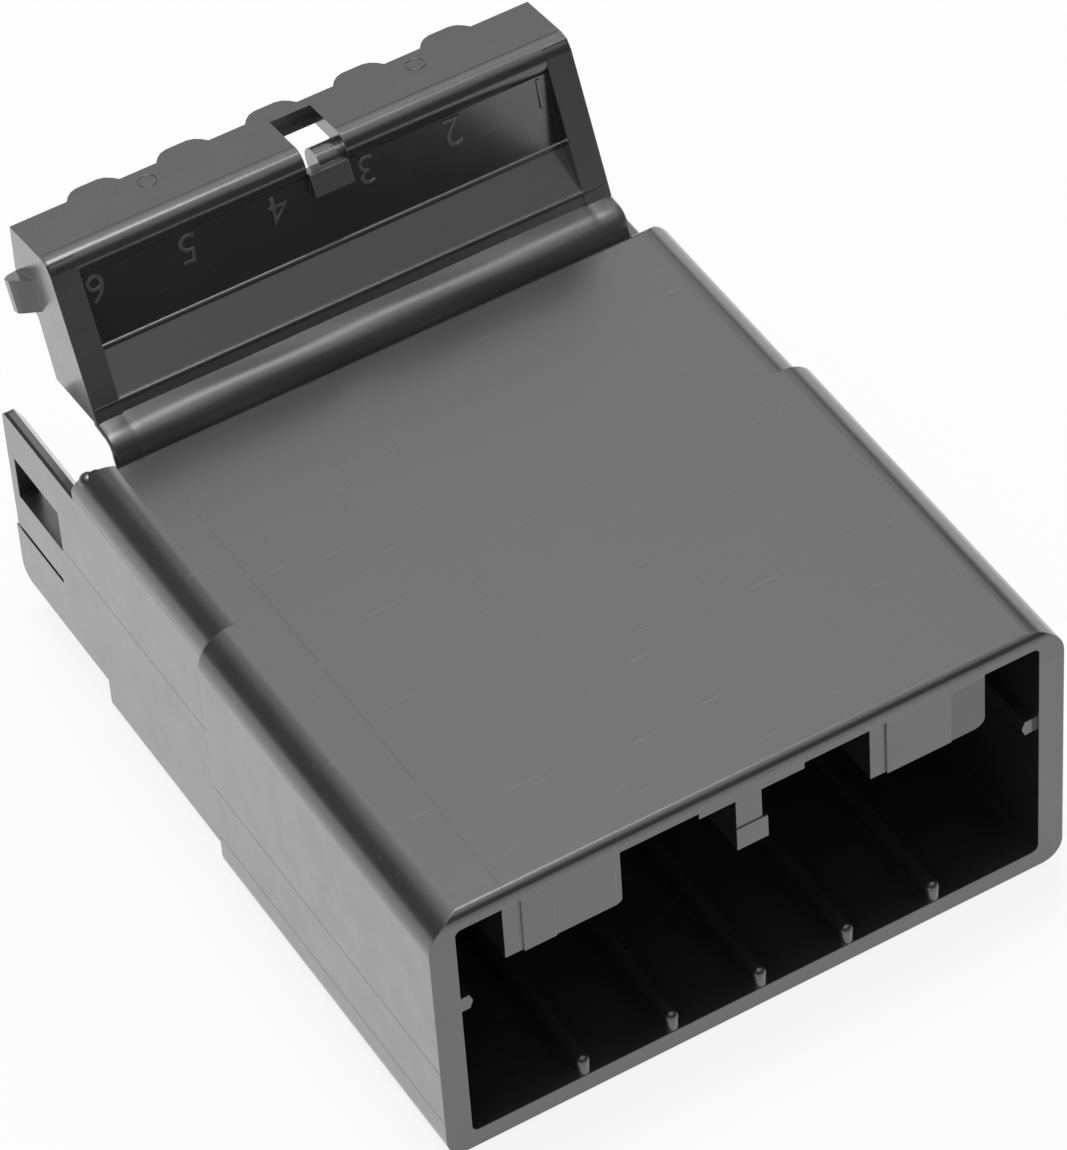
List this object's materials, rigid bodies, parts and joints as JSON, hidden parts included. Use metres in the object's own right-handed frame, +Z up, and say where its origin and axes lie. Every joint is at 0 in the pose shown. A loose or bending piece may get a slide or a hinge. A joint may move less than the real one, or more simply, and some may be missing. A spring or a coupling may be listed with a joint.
{
  "type": "wire to board connector housing",
  "caption": "Black moulded connector housing with an open keyed hood, two rows of contact cavities, latch arms and a hinged rear cover.",
  "frame": {"origin": "centre of the bounding box at its base, with the cover open", "axes": "+X across the housing, +Y from the mouth to the hinged rear, +Z up"},
  "size_m": [0.0296, 0.0378, 0.0214],
  "materials": {
    "body_plastic": "satin moulded, fine scuffs",
    "cover_plastic": "satin moulded"
  },
  "bodies": {
    "body": {"housing": "body_plastic", "hinge_film": "body_plastic"},
    "cover": {"rear_cover": "cover_plastic"}
  },
  "joints": [
    {"name": "cover_hinge", "type": "hinge", "parent": "body", "child": "cover", "pos_m": [0, 0.01149, 0.01373], "axis": [1, 0, 0], "range_deg": [-88, 30], "deforming": ["hinge_film"]}
  ]
}
